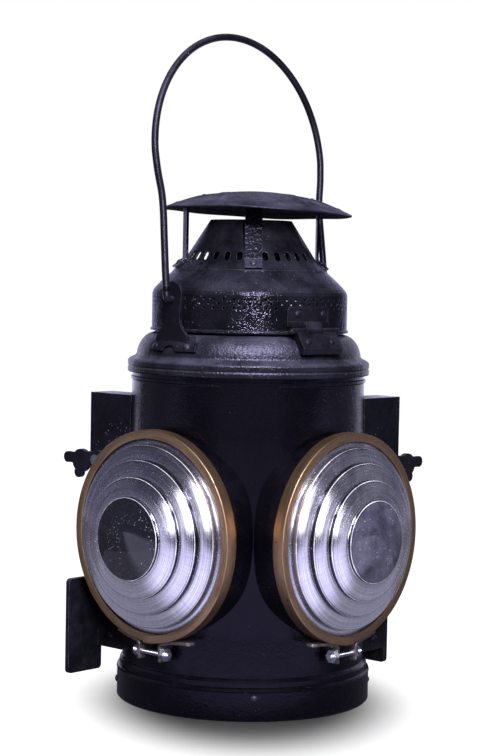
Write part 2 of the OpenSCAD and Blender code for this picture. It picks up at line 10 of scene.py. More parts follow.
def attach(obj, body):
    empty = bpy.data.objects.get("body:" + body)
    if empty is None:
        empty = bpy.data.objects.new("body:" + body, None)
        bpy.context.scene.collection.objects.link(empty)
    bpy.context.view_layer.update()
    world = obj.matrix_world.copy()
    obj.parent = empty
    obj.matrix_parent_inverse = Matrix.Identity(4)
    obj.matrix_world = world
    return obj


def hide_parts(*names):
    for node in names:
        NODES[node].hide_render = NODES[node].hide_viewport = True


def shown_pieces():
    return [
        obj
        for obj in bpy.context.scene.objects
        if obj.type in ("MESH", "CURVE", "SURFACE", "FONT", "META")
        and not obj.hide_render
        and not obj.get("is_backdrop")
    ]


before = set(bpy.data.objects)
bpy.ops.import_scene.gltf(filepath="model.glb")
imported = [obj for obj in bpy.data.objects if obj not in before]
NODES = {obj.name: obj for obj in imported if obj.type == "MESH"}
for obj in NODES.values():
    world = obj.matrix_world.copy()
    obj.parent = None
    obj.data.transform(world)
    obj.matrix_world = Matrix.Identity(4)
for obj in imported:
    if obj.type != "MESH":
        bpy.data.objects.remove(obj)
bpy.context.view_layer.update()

bl_info = {
    "name": "Railway classification lamp",
    "version": (1, 0, 0),
    "blender": (4, 5, 0),
    "location": "3D View > Sidebar > Lamp",
    "description": "Surfaces and finishes of a two-lens locomotive classification lamp",
    "category": "Object",
}

MM = 0.001
SIDES = ((-1, "left"), (1, "right"))

# The photograph's camera: place in metres, angles in degrees, lens in millimetres
CAMERA_PLACE = (-0.0754, -1.3659, 0.301)
CAMERA_AZIMUTH, CAMERA_PITCH, CAMERA_ROLL = 2.9, 3.14, 1.09
CAMERA_LENS = 91.905
FLOOR_REACH = 2.6

# The lens: radii of its steps, and where the risers lie along its surface, in millimetres from the middle.
# The painted shade bands of the risers and their painted highlight lines are laid out over GLASS_SPAN, and the riser
# bands past OUTER_RISER are drawn at half strength.
LENS_STEPS = (0, 28, 41, 52, 62)
GLASS_RISERS = ((28.4, 30.5), (44.0, 46.8), (58.4, 61.9), (72.5, 77.0))
GLASS_SPAN = 80
OUTER_RISER = 70

# The bail: height of its pivots, and the angle of their axis to the front, in degrees
PIVOT_HEIGHT = 0.2815
PIVOT_ANGLE = -46


def srgb(code):
    """Linear red, green, blue and alpha of an sRGB hex colour."""
    c = np.array([int(code[i:i + 2], 16) for i in (1, 3, 5)]) / 255
    lin = np.where(c <= 0.04045, c / 12.92, ((c + 0.055) / 1.055) ** 2.4)
    return (*[float(v) for v in lin], 1.0)


# ---- sizes and colours that a user would change ----

class LampSizes(bpy.types.PropertyGroup):
    lens_height: FloatProperty(name="Lens height", description="Height of the lens centres",
                               default=0.1216, unit="LENGTH")
    lens_angle: FloatProperty(name="Lens angle", description="Angle of each lens to the front",
                              default=math.radians(45), subtype="ANGLE")
    lens_back: FloatProperty(name="Lens back", description="Distance of the lens's back from the lamp's axis",
                             default=0.0915, unit="LENGTH")
    lens_bulge: FloatProperty(name="Lens bulge", description="How far the lens rises from its rim to its middle",
                              default=0.024, unit="LENGTH")
    bezel_radius: FloatProperty(name="Bezel radius", description="Outer radius of the brass bezels",
                                default=0.072, unit="LENGTH")
    bezel_front: FloatProperty(name="Bezel front", description="Distance of a bezel's face from the lamp's axis",
                               default=0.0975, unit="LENGTH")
    saddle_swell: FloatProperty(name="Saddle swell", description="How far the front swells between the lenses",
                                default=0.015, unit="LENGTH")
    rod_radius: FloatProperty(name="Bail rod", description="Radius of the bail's rod",
                              default=0.0025, unit="LENGTH")
    cap_radius: FloatProperty(name="Cap radius", description="Radius of the rain cap",
                              default=0.067, unit="LENGTH")
    cap_flutes: IntProperty(name="Cap flutes", description="Number of pressed flutes on the rain cap",
                            default=32, min=8, max=64)


class LampColours(bpy.types.PropertyGroup):
    paint: FloatVectorProperty(name="Paint", description="Black enamel of the sheet metal",
                               subtype="COLOR", size=4, default=srgb("#0a0a0e"))
    paint_dust: FloatVectorProperty(name="Dust", description="Dust and dried specks on the enamel",
                                    subtype="COLOR", size=4, default=srgb("#4b4a5c"))
    brass_left: FloatVectorProperty(name="Left brass", description="Brown brass of the left bezel",
                                    subtype="COLOR", size=4, default=srgb("#bda080"))
    brass_right: FloatVectorProperty(name="Right brass", description="Brown brass of the right bezel",
                                     subtype="COLOR", size=4, default=srgb("#b49878"))
    zinc: FloatVectorProperty(name="Zinc", description="Zinc plating of the bolts and nuts",
                              subtype="COLOR", size=4, default=srgb("#c9ccd6"))
    steel: FloatVectorProperty(name="Bare steel", description="Worn steel of the clamp lugs",
                               subtype="COLOR", size=4, default=srgb("#6f6d6c"))
    # painted light: the body's enamel is drawn lighter than the other black enamel, standing in for light on the body
    brightened: FloatVectorProperty(name="Brightened paint", description="Slightly faded enamel of the body and base",
                               subtype="COLOR", size=4, default=srgb("#15131d"))
    rust: FloatVectorProperty(name="Rust", description="Rust at pins and worn edges",
                              subtype="COLOR", size=4, default=srgb("#6b3d26"))


def sizes():
    return bpy.context.scene.lamp_sizes


def colours():
    return bpy.context.scene.lamp_colours


# ---- meshes from numpy grids ----

def grid_piece(name, points, wrap_u=False, wrap_v=False, uv=None):
    """A mesh over a grid of points (nu, nv, 3): each cell is a quad, and a wrapped direction joins its ends.
    uv gives one length for each grid line, and one more in a wrapped direction."""
    nu, nv = points.shape[:2]
    iu = np.arange(nu if wrap_u else nu - 1)
    iv = np.arange(nv if wrap_v else nv - 1)
    a, b = np.meshgrid(iu, iv, indexing="ij")
    a2, b2 = (a + 1) % nu, (b + 1) % nv
    faces = np.stack([a * nv + b, a2 * nv + b, a2 * nv + b2, a * nv + b2], -1).reshape(-1, 4)
    mesh = bpy.data.meshes.new(name)
    mesh.vertices.add(nu * nv)
    mesh.vertices.foreach_set("co", np.ascontiguousarray(points, np.float32).reshape(-1))
    mesh.loops.add(faces.size)
    mesh.loops.foreach_set("vertex_index", faces.astype(np.int32).reshape(-1))
    mesh.polygons.add(len(faces))
    mesh.polygons.foreach_set("loop_start", np.arange(0, faces.size, 4, dtype=np.int32))
    mesh.polygons.foreach_set("use_smooth", np.ones(len(faces), bool))
    mesh.update(calc_edges=True)
    if uv is not None:
        layer = mesh.uv_layers.new(name="UVMap")
        u = np.stack([uv[0][a], uv[0][a + 1], uv[0][a + 1], uv[0][a]], -1).reshape(-1)
        v = np.stack([uv[1][b], uv[1][b], uv[1][b + 1], uv[1][b + 1]], -1).reshape(-1)
        layer.data.foreach_set("uv", np.stack([u, v], -1).astype(np.float32).reshape(-1))
    mesh.validate()
    piece = bpy.data.objects.new(name, mesh)
    bpy.context.scene.collection.objects.link(piece)
    return piece


def select_only(pieces):
    """Selects these objects alone, the first one active."""
    bpy.ops.object.select_all(action="DESELECT")
    for piece in pieces:
        piece.select_set(True)
    bpy.context.view_layer.objects.active = pieces[0]


def join_pieces(name, pieces):
    """One object of several."""
    select_only(pieces)
    bpy.ops.object.join()
    pieces[0].name = name
    pieces[0].data.name = name
    return pieces[0]


def recalc(piece, merge=1e-6):
    """Merges doubles and turns the faces outwards."""
    select_only([piece])
    bpy.ops.object.mode_set(mode="EDIT")
    bpy.ops.mesh.select_all(action="SELECT")
    bpy.ops.mesh.remove_doubles(threshold=merge)
    bpy.ops.mesh.normals_make_consistent(inside=False)
    bpy.ops.object.mode_set(mode="OBJECT")
    return piece


def rounded(corners, radius, steps=4):
    """A polyline with each inner corner replaced by a short arc: points on the quadratic curve between
    two cut points a radius away from the corner."""
    pts = np.asarray(corners, float)
    out = [pts[:1]]
    t = np.linspace(0, 1, steps + 1)[:, None]
    for i in range(1, len(pts) - 1):
        a, b, c = pts[i - 1], pts[i], pts[i + 1]
        la, lc = np.linalg.norm(a - b), np.linalg.norm(c - b)
        r = min(radius, 0.45 * la, 0.45 * lc)
        p, q = b + (a - b) * r / la, b + (c - b) * r / lc
        out.append((1 - t) ** 2 * p + 2 * t * (1 - t) * b + t ** 2 * q)
    out.append(pts[-1:])
    return np.concatenate(out)


def along(points):
    """Distance of each point along a polyline."""
    step = np.linalg.norm(np.diff(points, axis=0), axis=1)
    return np.concatenate([[0], np.cumsum(step)])


def revolve(name, profile, axes, turns=192, start=0.0, stop=2 * math.pi, bump=None):
    """A profile of (radius, distance along the axis) carried round an axis: the point at angle t is
    origin + radius (cos t x + sin t y) + distance z. bump may change the radius and the distance."""
    origin, ex, ey, ez = axes
    full = abs(stop - start - 2 * math.pi) < 1e-9
    t = np.linspace(start, stop, turns + 1)
    if full:
        t = t[:-1]
    rr = np.repeat(profile[None, :, 0], len(t), 0)
    dd = np.repeat(profile[None, :, 1], len(t), 0)
    if bump is not None:
        rr, dd = bump(t[:, None], rr, dd)
    pts = (origin + rr[..., None] * (np.cos(t)[:, None, None] * ex + np.sin(t)[:, None, None] * ey)
           + dd[..., None] * ez)
    u = np.linspace(start, stop, turns + 1) * profile[:, 0].max()
    return grid_piece(name, pts, wrap_u=full, uv=(u, along(profile)))


def capped_strip(name, pts, first, last, u, v):
    """A closed section carried along a line, its two ends shut by rings that shrink to the points first and last."""
    pts = np.concatenate([np.repeat(first, pts.shape[1], 1), pts, np.repeat(last, pts.shape[1], 1)])
    return recalc(grid_piece(name, pts, wrap_v=True, uv=(np.concatenate([[0], u, u[-1:]]), v)))


def tube(name, path, radius, sides=20):
    """A round section carried along a path of points: a frame that turns as little as it can is moved
    along the tangents, and each ring is the path point + radius (cos t side + sin t up)."""
    tangent = np.gradient(path, axis=0)
    tangent /= np.linalg.norm(tangent, axis=1)[:, None]
    side = np.zeros_like(path)
    side[0] = np.cross(tangent[0], [0.3, 0.5, 0.81])
    side[0] /= np.linalg.norm(side[0])
    for i in range(1, len(path)):
        s = side[i - 1] - tangent[i] * np.dot(side[i - 1], tangent[i])
        side[i] = s / np.linalg.norm(s)
    up = np.cross(tangent, side)
    t = np.linspace(0, 2 * math.pi, sides + 1)
    pts = path[:, None] + radius * (np.cos(t[:-1])[None, :, None] * side[:, None]
                                    + np.sin(t[:-1])[None, :, None] * up[:, None])
    return capped_strip(name, pts, path[:1, None], path[-1:, None], along(path), t * radius)


def upright():
    """Origin and axes of the lamp itself."""
    return np.zeros(3), np.array([1.0, 0, 0]), np.array([0, 1.0, 0]), np.array([0, 0, 1.0])


def lens_axes(side):
    """Origin and axes of a lens: x sideways to the outer rear, y up and z out along its axis."""
    a = sizes().lens_angle
    ex = np.array([side * math.cos(a), math.sin(a), 0])
    ez = np.array([side * math.sin(a), -math.cos(a), 0])
    return np.array([0, 0, sizes().lens_height]), ex, np.array([0, 0, 1.0]), ez


# ---- materials ----

def fill(tree, node, values):
    """Puts a value into each named input of a node, or links it to another node's output."""
    for key, value in values.items():
        socket = node.inputs[key]
        if isinstance(value, bpy.types.NodeSocket):
            tree.links.new(value, socket)
        else:
            socket.default_value = value


def add_node(tree, kind, values=None, **settings):
    """One node, with its settings, its input values and its links."""
    node = tree.nodes.new(kind)
    for key, value in settings.items():
        setattr(node, key, value)
    fill(tree, node, values or {})
    return node


def new_material(name):
    """An empty Principled material, or the finished one of that name."""
    if name in bpy.data.materials:
        return bpy.data.materials[name], None, None
    mat = bpy.data.materials.new(name)
    mat.use_nodes = True
    tree = mat.node_tree
    return mat, tree, tree.nodes["Principled BSDF"]


def grey(v):
    return (v, v, v, 1.0)


def ramp(tree, value, stops):
    """A colour ramp with stops of (place, colour or grey level)."""
    node = add_node(tree, "ShaderNodeValToRGB", {"Fac": value})
    els = node.color_ramp.elements
    while len(els) < len(stops):
        els.new(1.0)
    for e, (place, colour) in zip(els, stops):
        e.position = place
        e.color = grey(colour) if isinstance(colour, (int, float)) else colour
    return node.outputs["Color"]


def calc(tree, operation, *numbers, clamp=False):
    """One operation on numbers, such as a sum or a product."""
    return add_node(tree, "ShaderNodeMath", dict(enumerate(numbers)), operation=operation, use_clamp=clamp).outputs[0]


def times(tree, a, b):
    """The product of two numbers."""
    return calc(tree, "MULTIPLY", a, b)


def mix(tree, factor, a, b):
    """Two colours, blended by a factor."""
    return add_node(tree, "ShaderNodeMix", {0: factor, 6: a, 7: b}, data_type="RGBA").outputs[2]


def mix_value(tree, factor, a, b):
    """Two numbers, blended by a factor."""
    return add_node(tree, "ShaderNodeMix", {0: factor, 2: a, 3: b}, data_type="FLOAT").outputs[0]


def spread(tree, value, low, high, to_low=0.0, to_high=1.0, kind="LINEAR"):
    """A number, carried from one range to another and kept inside it."""
    return add_node(tree, "ShaderNodeMapRange", {0: value, 1: low, 2: high, 3: to_low, 4: to_high},
                    interpolation_type=kind).outputs[0]


def coords(tree, kind="Object"):
    return add_node(tree, "ShaderNodeTexCoord").outputs[kind]


def part_of(tree, vector, letter):
    """One coordinate of a vector."""
    return add_node(tree, "ShaderNodeSeparateXYZ", {0: vector}).outputs[letter]


def noise(tree, vector, scale, detail, roughness=0.5):
    """Cloudy noise, its largest forms one over scale metres across."""
    return add_node(tree, "ShaderNodeTexNoise", {"Vector": vector, "Scale": scale, "Detail": detail,
                                                 "Roughness": roughness}).outputs["Fac"]


def stretched(tree, uv, factor, detail, roughness=0.6):
    """Noise drawn out along a surface, with a factor for each of its directions."""
    vector = add_node(tree, "ShaderNodeMapping", {"Vector": uv, "Scale": (*factor, 1)}).outputs["Vector"]
    return noise(tree, vector, 1.0, detail, roughness)


def dotted(tree, vector, scale):
    """Distance to the nearest of many random dots, one over scale metres apart."""
    return add_node(tree, "ShaderNodeTexVoronoi", {"Vector": vector, "Scale": scale}).outputs["Distance"]


def bumped(tree, height, strength, distance, normal=None):
    """The surface normal, tilted by a pattern of heights."""
    values = {"Strength": strength, "Distance": distance, "Height": height}
    if normal is not None:
        values["Normal"] = normal
    return add_node(tree, "ShaderNodeBump", values).outputs["Normal"]


def enamel(name="old_black_enamel", rough=(0.14, 0.32), lumps=1.0, wear=0.0, dust=1.0, dark_below=0.0,
           ripple=120.0, brightened=False):
    """Brushed-on black oil enamel: a glossy coat with brush ripple and trapped grit, dusty where it faces up,
    which the eye sees as broken, slightly violet highlights on near black. Unworn edges carry a painted violet-grey
    highlight."""
    mat, tree, bsdf = new_material(name)
    if tree is None:
        return mat
    c = colours()
    obj = coords(tree)
    # grit that sank into the wet coat: dots about 1 mm across, 3 mm apart, and most of them left out
    dots = ramp(tree, dotted(tree, obj, 330.0), [(0.0, 1), (0.1, 0.8), (0.2, 0)])
    where = ramp(tree, noise(tree, obj, 38.0, 4.0, 0.6), [(0.53, 0), (0.68, 1)])
    speck = times(tree, dots, where)
    # dust film: clouds about 25 mm across, and more of it on faces that look up
    film = noise(tree, obj, 40.0, 7.0, 0.68)
    facing = part_of(tree, coords(tree, "Normal"), "Z")
    clouds = ramp(tree, film, [(0.42, 0.0), (0.74, 0.07)])
    broken = ramp(tree, film, [(0.36, 0.12), (0.66, 1.0)])
    lying = times(tree, spread(tree, facing, 0.1, 0.9, 0.0, 0.3), broken)
    dusty = calc(tree, "MULTIPLY", calc(tree, "ADD", clouds, lying), dust, clamp=True)
    # on the body's pieces the enamel is painted lighter, as painted light standing in for light on them
    colour = mix(tree, dusty, c.brightened if brightened else c.paint, c.paint_dust)
    colour = mix(tree, times(tree, speck, 0.6), colour, srgb("#77758a"))
    # edges: rounded; on the handled pieces rubbed lighter and brown where hands and tools touch them, on the others
    # given a painted violet-grey highlight in patches
    soft = add_node(tree, "ShaderNodeBevel", {"Radius": 0.0006}, samples=6).outputs["Normal"]
    true = add_node(tree, "ShaderNodeNewGeometry").outputs["Normal"]
    turn = add_node(tree, "ShaderNodeVectorMath", {0: soft, 1: true}, operation="DOT_PRODUCT").outputs["Value"]
    worn = noise(tree, obj, 190.0, 5.0, 0.7)
    rubbed = times(tree, spread(tree, turn, 0.985, 0.88), ramp(tree, worn, [(0.46, 0.04), (0.68, 0.6)]))
    # painted highlight: without wear the edge colour is a light violet-grey that stands in for light caught on the
    # edges
    colour = mix(tree, rubbed, colour, srgb("#4f4845" if wear else "#6c6a7c"))
    if wear > 0:
        edge = ramp(tree, worn, [(0.7 - 0.1 * wear, 0), (0.8 - 0.1 * wear, 0.35)])
        colour = mix(tree, edge, colour, c.rust)
    # the gloss changes from patch to patch, and dust dulls it, as does the darkening of faces that look down
    gloss = ramp(tree, noise(tree, obj, 60.0, 6.0, 0.7), [(0.3, rough[0]), (0.72, rough[1])])
    dull = calc(tree, "MULTIPLY_ADD", dusty, 0.55, gloss)
    # faces that look down are painted darker and made duller
    if dark_below > 0:
        below = spread(tree, facing, -0.1, -0.5, 0.0, dark_below)
        colour = mix(tree, below, colour, srgb("#08080a"))
        dull = calc(tree, "ADD", below, dull, clamp=True)
    # rounded edges, two sizes of brush ripple, the finer 1.7 mm across, and the raised grit
    normal = bumped(tree, noise(tree, obj, ripple, 3.0, 0.55), 0.3 * lumps, 0.0007, soft)
    normal = bumped(tree, noise(tree, obj, 600.0, 2.0), 0.7 * lumps, 0.00028, normal)
    normal = bumped(tree, speck, 0.6 * lumps, 0.0004, normal)
    fill(tree, bsdf, {"Base Color": colour, "Roughness": dull, "Specular IOR Level": 0.22,
                      "Specular Tint": srgb("#dcd6ff"), "Normal": normal})
    return mat


def brushed_brass(name, colour, dark):
    """Spun brass strip, rubbed along its length and gone brown: fine scratches run round the ring, with
    smears of tarnish and a few dark pits."""
    mat, tree, bsdf = new_material(name)
    if tree is None:
        return mat
    uv = add_node(tree, "ShaderNodeUVMap", uv_map="UVMap").outputs["UV"]
    scratch = stretched(tree, uv, (60, 4200), 3.0)
    smear = stretched(tree, uv, (28, 220), 6.0, 0.65)
    spot = noise(tree, coords(tree), 210.0, 5.0, 0.7)
    tone = mix(tree, ramp(tree, smear, [(0.35, 0), (0.68, 1)]), colour, dark)
    tone = mix(tree, ramp(tree, scratch, [(0.3, 0.0), (0.75, 0.45)]), tone, srgb("#3c2b24"))
    tone = mix(tree, ramp(tree, spot, [(0.62, 0), (0.7, 0.75)]), tone, srgb("#33261b"))
    normal = bumped(tree, spot, 0.3, 0.0002, bumped(tree, scratch, 0.35, 0.00008))
    fill(tree, bsdf, {"Base Color": tone, "Metallic": 1.0, "Normal": normal,
                      "Roughness": ramp(tree, smear, [(0.3, 0.3), (0.7, 0.52)])})
    return mat


def mottled_metal(name, tones, rough, scale, detail, grain=0.5, metal=1.0, relief=None):
    """Bare metal with one noise behind its tones and its gloss, and behind its relief of (strength, distance)."""
    mat, tree, bsdf = new_material(name)
    if tree is None:
        return mat
    cloud = noise(tree, coords(tree), scale, detail, grain)
    fill(tree, bsdf, {"Base Color": ramp(tree, cloud, tones), "Metallic": metal,
                      "Roughness": ramp(tree, cloud, [(0.3, rough[0]), (0.7, rough[1])])})
    if relief:
        fill(tree, bsdf, {"Normal": bumped(tree, cloud, *relief)})
    return mat


def fount_brass():
    """Sheet brass inside the lamp, dulled by oil and heat."""
    return mottled_metal("dull_sheet_brass", [(0.3, srgb("#8f6d3c")), (0.7, srgb("#5a4226"))], (0.32, 0.5),
                         45.0, 6.0)


def zinc_plate():
    """Bright zinc plating: a silvery, faintly mottled metal."""
    return mottled_metal("bright_zinc_plate", [(0.3, colours().zinc), (0.7, srgb("#a3a7b2"))], (0.18, 0.36),
                         420.0, 4.0, relief=(0.3, 0.0001))


def worn_steel():
    """Bent steel strip, once painted: grey metal with brown staining and dark pits."""
    tones = [(0.3, colours().steel), (0.48, srgb("#6b6468")), (0.6, srgb("#4b4446")), (0.75, srgb("#221d1d"))]
    return mottled_metal("worn_strip_steel", tones, (0.3, 0.6), 240.0, 6.0, 0.7, 0.85, (0.5, 0.0002))


def pressed_glass(word, haze_level):
    """Lens glass pressed in a turned mould: fine round tool marks make the rings flash like spun metal, while
    the plain middle stays clear and shows the dark inside, under dust specks. The risers are painted dark as shade,
    their outer edges get painted white highlight lines, and dark streaks are painted across the rings as reflection."""
    mat, tree, bsdf = new_material(f"pressed_clear_glass_{word}")
    if tree is None:
        return mat
    obj = coords(tree)
    uv = add_node(tree, "ShaderNodeUVMap", uv_map="UVMap").outputs["UV"]
    # way out from the middle along the surface: the rings start at 29 mm and the back at 79 mm
    out = part_of(tree, uv, "Y")
    rings = times(tree, spread(tree, out, 0.0285, 0.0300), spread(tree, out, 0.080, 0.078))
    # dust: a thin film with fine sand in it, dots of about 1 mm
    haze = noise(tree, obj, 55.0, 8.0, 0.75)
    dots = ramp(tree, dotted(tree, obj, 480.0), [(0.0, 1), (0.14, 0.9), (0.24, 0)])
    sand = times(tree, dots, ramp(tree, haze, [(0.47, 0), (0.6, 0.55)]))
    # dark streaks across the rings, painted into their colour as reflection streaks
    marks = stretched(tree, uv, (420, 40), 4.0)
    turned = stretched(tree, uv, (9, 1100), 3.0)
    shade = ramp(tree, turned, [(0.34, srgb("#c2c1d4")), (0.62, srgb("#f4f3fb"))])
    shade = mix(tree, ramp(tree, marks, [(0.36, 0.13), (0.6, 0)]), shade, srgb("#5d5c72"))
    clear = mix(tree, rings, srgb("#77768f"), shade)
    # each step's riser is painted dark as shade, with a thin painted dark line inside it, and its outer edge gets a
    # painted white highlight line; places are in mm along the surface
    place = calc(tree, "DIVIDE", out, GLASS_SPAN * MM)

    def bands(stops):
        return ramp(tree, place, [(v / GLASS_SPAN, level) for a, b in GLASS_RISERS for v, level in stops(a, b)])

    def riser_shade_stops(a, b):
        full = 1 if a < OUTER_RISER else 0.5
        return (a, 0), (a + 0.4, full), (b - 0.3, full), (b, 0)

    lip = bands(lambda a, b: ((a - 0.5, 0), (a - 0.3, 1), (a - 0.1, 1), (a + 0.2, 0)))
    groove_shade = bands(lambda a, b: ((a - 1.5, 0), (a - 1.1, 0.6), (a - 0.9, 0.6), (a - 0.6, 0)))
    # painted shade: the dark riser bands and the thin dark lines
    clear = mix(tree, calc(tree, "MAXIMUM", bands(riser_shade_stops), groove_shade), clear, srgb("#2b2a36"))
    # painted highlight: the white line along each riser's outer edge
    lip = times(tree, lip, ramp(tree, haze, [(0.38, 0.25), (0.62, 0.85)]))
    clear = mix(tree, lip, clear, srgb("#ffffff"))
    colour = mix(tree, sand, clear, srgb("#b4b3c2"))
    solid = calc(tree, "SUBTRACT", 1.0, lip)
    flash = times(tree, times(tree, rings, 0.86), solid)
    bare = mix_value(tree, rings, 0.05, ramp(tree, turned, [(0.3, 0.2), (0.7, 0.26)]))
    see = calc(tree, "MULTIPLY_ADD", sand, -0.9, 0.97, clamp=True)
    see = calc(tree, "SUBTRACT", see, ramp(tree, haze, [(0.3, 0), (0.7, haze_level)]), clamp=True)
    tangent = add_node(tree, "ShaderNodeTangent", direction_type="UV_MAP", uv_map="UVMap").outputs["Tangent"]
    fill(tree, bsdf, {
        "Base Color": colour, "Metallic": flash, "Roughness": calc(tree, "MULTIPLY_ADD", sand, 0.5, bare),
        "Transmission Weight": times(tree, see, solid), "IOR": 1.5, "Anisotropic": 0.85,
        "Anisotropic Rotation": 0.25, "Tangent": tangent,
        "Normal": bumped(tree, turned, times(tree, rings, 0.1), 0.00006),
    })
    return mat


def roundel_glass():
    """Flat green signal glass, coloured right through."""
    mat, tree, bsdf = new_material("green_signal_glass")
    if tree is None:
        return mat
    ripple = noise(tree, coords(tree), 60.0, 2.0)
    fill(tree, bsdf, {"Base Color": srgb("#2f9a63"), "Roughness": 0.06, "IOR": 1.5, "Transmission Weight": 0.75,
                      "Normal": bumped(tree, ripple, 0.15, 0.0004)})
    return mat


def soft_rubber():
    """Black gasket rubber, dull and slightly dusty."""
    mat, tree, bsdf = new_material("gasket_rubber")
    if tree is None:
        return mat
    cloud = noise(tree, coords(tree), 300.0, 4.0)
    fill(tree, bsdf, {"Base Color": ramp(tree, cloud, [(0.3, srgb("#151515")), (0.7, srgb("#262628"))]),
                      "Roughness": 0.8})
    return mat


def cotton_wick():
    """Flat woven cotton wick, cream with a charred top edge."""
    mat, tree, bsdf = new_material("woven_cotton_wick")
    if tree is None:
        return mat
    obj = coords(tree)
    weave = add_node(tree, "ShaderNodeTexWave", {"Vector": obj, "Scale": 400.0, "Distortion": 0.4}).outputs["Fac"]
    charred = spread(tree, part_of(tree, obj, "Z"), 0.1, 0.106)
    fill(tree, bsdf, {"Base Color": mix(tree, charred, srgb("#cfc4a8"), srgb("#1a1512")), "Roughness": 0.9,
                      "Normal": bumped(tree, weave, 0.5, 0.0003)})
    return mat


def paint_node(name, mat):
    """Gives a CAD node one material."""
    data = NODES[name].data
    data.materials.clear()
    data.materials.append(mat)


def finish_piece(piece, mat, body, slot, *nodes):
    """Material, body, slot and the CAD nodes that a new piece stands for. The slot is not used."""
    piece.data.materials.clear()
    piece.data.materials.append(mat)
    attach(piece, body)
    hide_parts(*nodes)


# ---- operators: one for each piece or group of like pieces ----

class LAMP_OT_sheet_metal(bpy.types.Operator):
    """Enamel on the painted sheet metal that keeps its CAD shape, and the small metal parts"""
    bl_idname = "lamp.sheet_metal"
    bl_label = "Sheet metal and small parts"

    def execute(self, context):
        paint = enamel()
        # the body's enamel is painted lighter than the rest, as painted light
        body = enamel("lit_body_enamel", brightened=True)
        worn = enamel("handled_black_enamel", rough=(0.25, 0.5), lumps=1.3, wear=0.35)
        thick = enamel("thick_lumpy_enamel", rough=(0.04, 0.12), lumps=2.3, ripple=170.0)
        strap = enamel("strap_enamel", rough=(0.18, 0.34), lumps=2.6, ripple=260.0)
        dusty = enamel("dusty_bracket_enamel", rough=(0.3, 0.5), dust=2.4)
        # the first row whose words start a node's name is its finish
        finishes = (
            (("oil_fount", "filler_cap", "burner", "wick_knob"), fount_brass()),
            (("clamp_bolt", "lever_spindle", "cowl_catch", "hinge_pin"), zinc_plate()),
            (("clamp_lugs",), worn_steel()),
            (("lens_gasket",), soft_rubber()),
            (("wick",), cotton_wick()),
            (("roundel_glass",), roundel_glass()),
            (("colour_lever", "hinge", "bail_ear", "ear_rivets"), worn),
            (("vent_drum",), thick),
            (("body_shell", "base_pan", "base_screws", "lens_hood"), body),
            (("cap_straps", "strap_rivets"), strap),
            (("mount_bracket", "bracket_rivets"), dusty),
            (("",), paint),
        )
        for name in NODES:
            paint_node(name, next(mat for words, mat in finishes if name.startswith(words)))
        return {"FINISHED"}


class LAMP_OT_lenses(bpy.types.Operator):
    """The two stepped lenses: each step is a parabola that falls outwards by its crown, on a parabola of the bulge"""
    bl_idname = "lamp.lenses"
    bl_label = "Stepped lenses"

    def execute(self, context):
        rings = np.array(LENS_STEPS) * MM
        rise = sizes().lens_bulge
        steps = []
        for i in range(len(rings) - 1):
            r0, r1 = rings[i], rings[i + 1]
            crown = 0.0042 if i == 0 else 0.0030
            top = 0.007 + rise * (1 - (r1 / 0.064) ** 2) + crown + 0.0008
            k = np.linspace(0, 1, 24 if i == 0 else 14)
            steps.append(np.stack([r0 + (r1 - r0) * k, top - crown * k ** 2], 1))
        rim = [[0.0624, 0.0045], [0.0682, 0.0045], [0.0682, 0.0002], [0.060, 0.0002]]
        front = rounded(np.concatenate([*steps, rim]), 0.00045, 3)
        k = np.linspace(1, 0, 40)[:, None]
        hollow = np.concatenate([0.060 * k, 0.0130 - 0.0128 * k ** 2.6], 1)[1:]
        profile = np.concatenate([front, hollow])
        profile[:, 1] += sizes().lens_back
        for side, word in SIDES:
            piece = recalc(revolve(f"stepped_lens_{word}", profile, lens_axes(side)))
            haze = 0.0 if side < 0 else 0.3
            finish_piece(piece, pressed_glass(word, haze), "lamp_body", "clear_glass", f"lens_{word}")
        return {"FINISHED"}


class LAMP_OT_bezels(bpy.types.Operator):
    """The two brass bezels: a channel ring, lapped at the bottom"""
    bl_idname = "lamp.bezels"
    bl_label = "Brass bezels"

    def execute(self, context):
        r, f = sizes().bezel_radius, sizes().bezel_front
        b, lip, sheet = f - 0.009, 0.066, 0.0015
        profile = rounded([[r - sheet, b], [r, b], [r, f], [lip, f], [lip, f - sheet],
                           [r - sheet, f - sheet], [r - sheet, b]], 0.0007, 5)
        lap = math.radians(6)

        def joint(t, rr, dd):
            over = np.clip((t - (1.5 * math.pi - 0.5)) / 0.5, 0, 1) ** 2
            return rr + 0.0009 * over, dd + 0.0007 * over

        tones = ((colours().brass_left, "#785e48"), (colours().brass_right, "#7e644d"))
        for (side, word), (colour, dark) in zip(SIDES, tones):
            piece = revolve(f"brass_bezel_{word}", profile, lens_axes(side), 240,
                            start=-math.pi / 2 - lap, stop=1.5 * math.pi + lap / 2, bump=joint)
            finish_piece(recalc(piece), brushed_brass(f"brown_brass_{word}", colour, srgb(dark)), "lamp_body",
                         "aged_brass", f"bezel_{word}")
        return {"FINISHED"}


